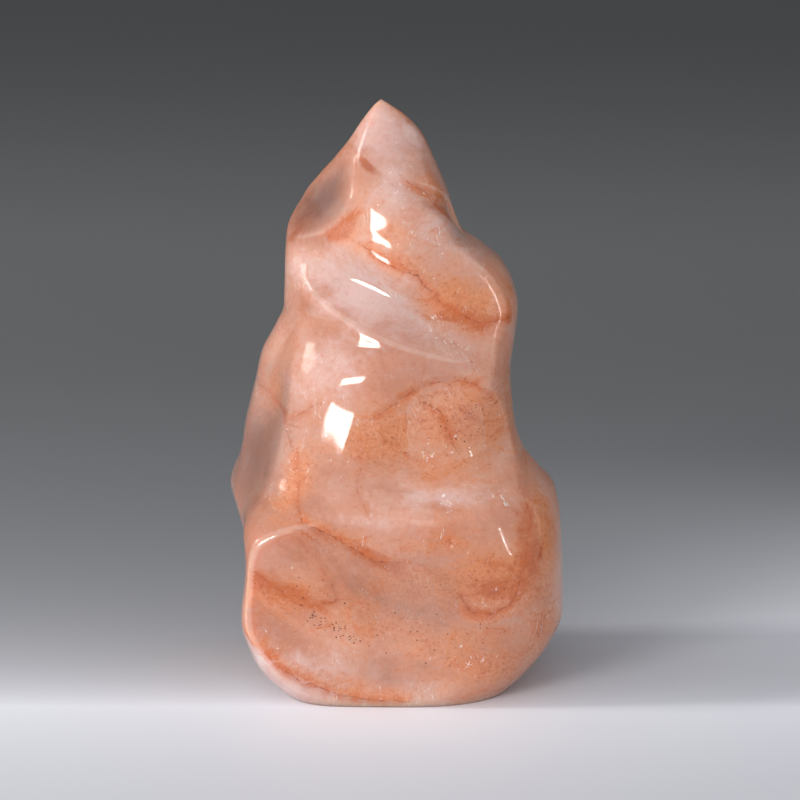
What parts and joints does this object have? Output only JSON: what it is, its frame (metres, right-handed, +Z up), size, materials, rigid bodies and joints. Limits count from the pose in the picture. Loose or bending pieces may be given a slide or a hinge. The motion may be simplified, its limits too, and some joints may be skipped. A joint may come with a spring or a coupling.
{
  "type": "strawberry quartz flame carving",
  "caption": "Flame-shaped polished stone of pink and orange veined quartz, ground into overlapping scoops, standing on a flat foot.",
  "frame": {"origin": "centre of the bounding box at the level of the flat foot", "axes": "+Z up from the foot to the point, the large flat face looks towards -Y, +X to the right as seen from the front"},
  "size_m": [0.0718, 0.06, 0.1244],
  "materials": {
    "stone": "polished cloudy pink quartz with orange veils, glossy"
  },
  "bodies": {
    "root": {"quartz_flame": "stone"}
  },
  "joints": []
}
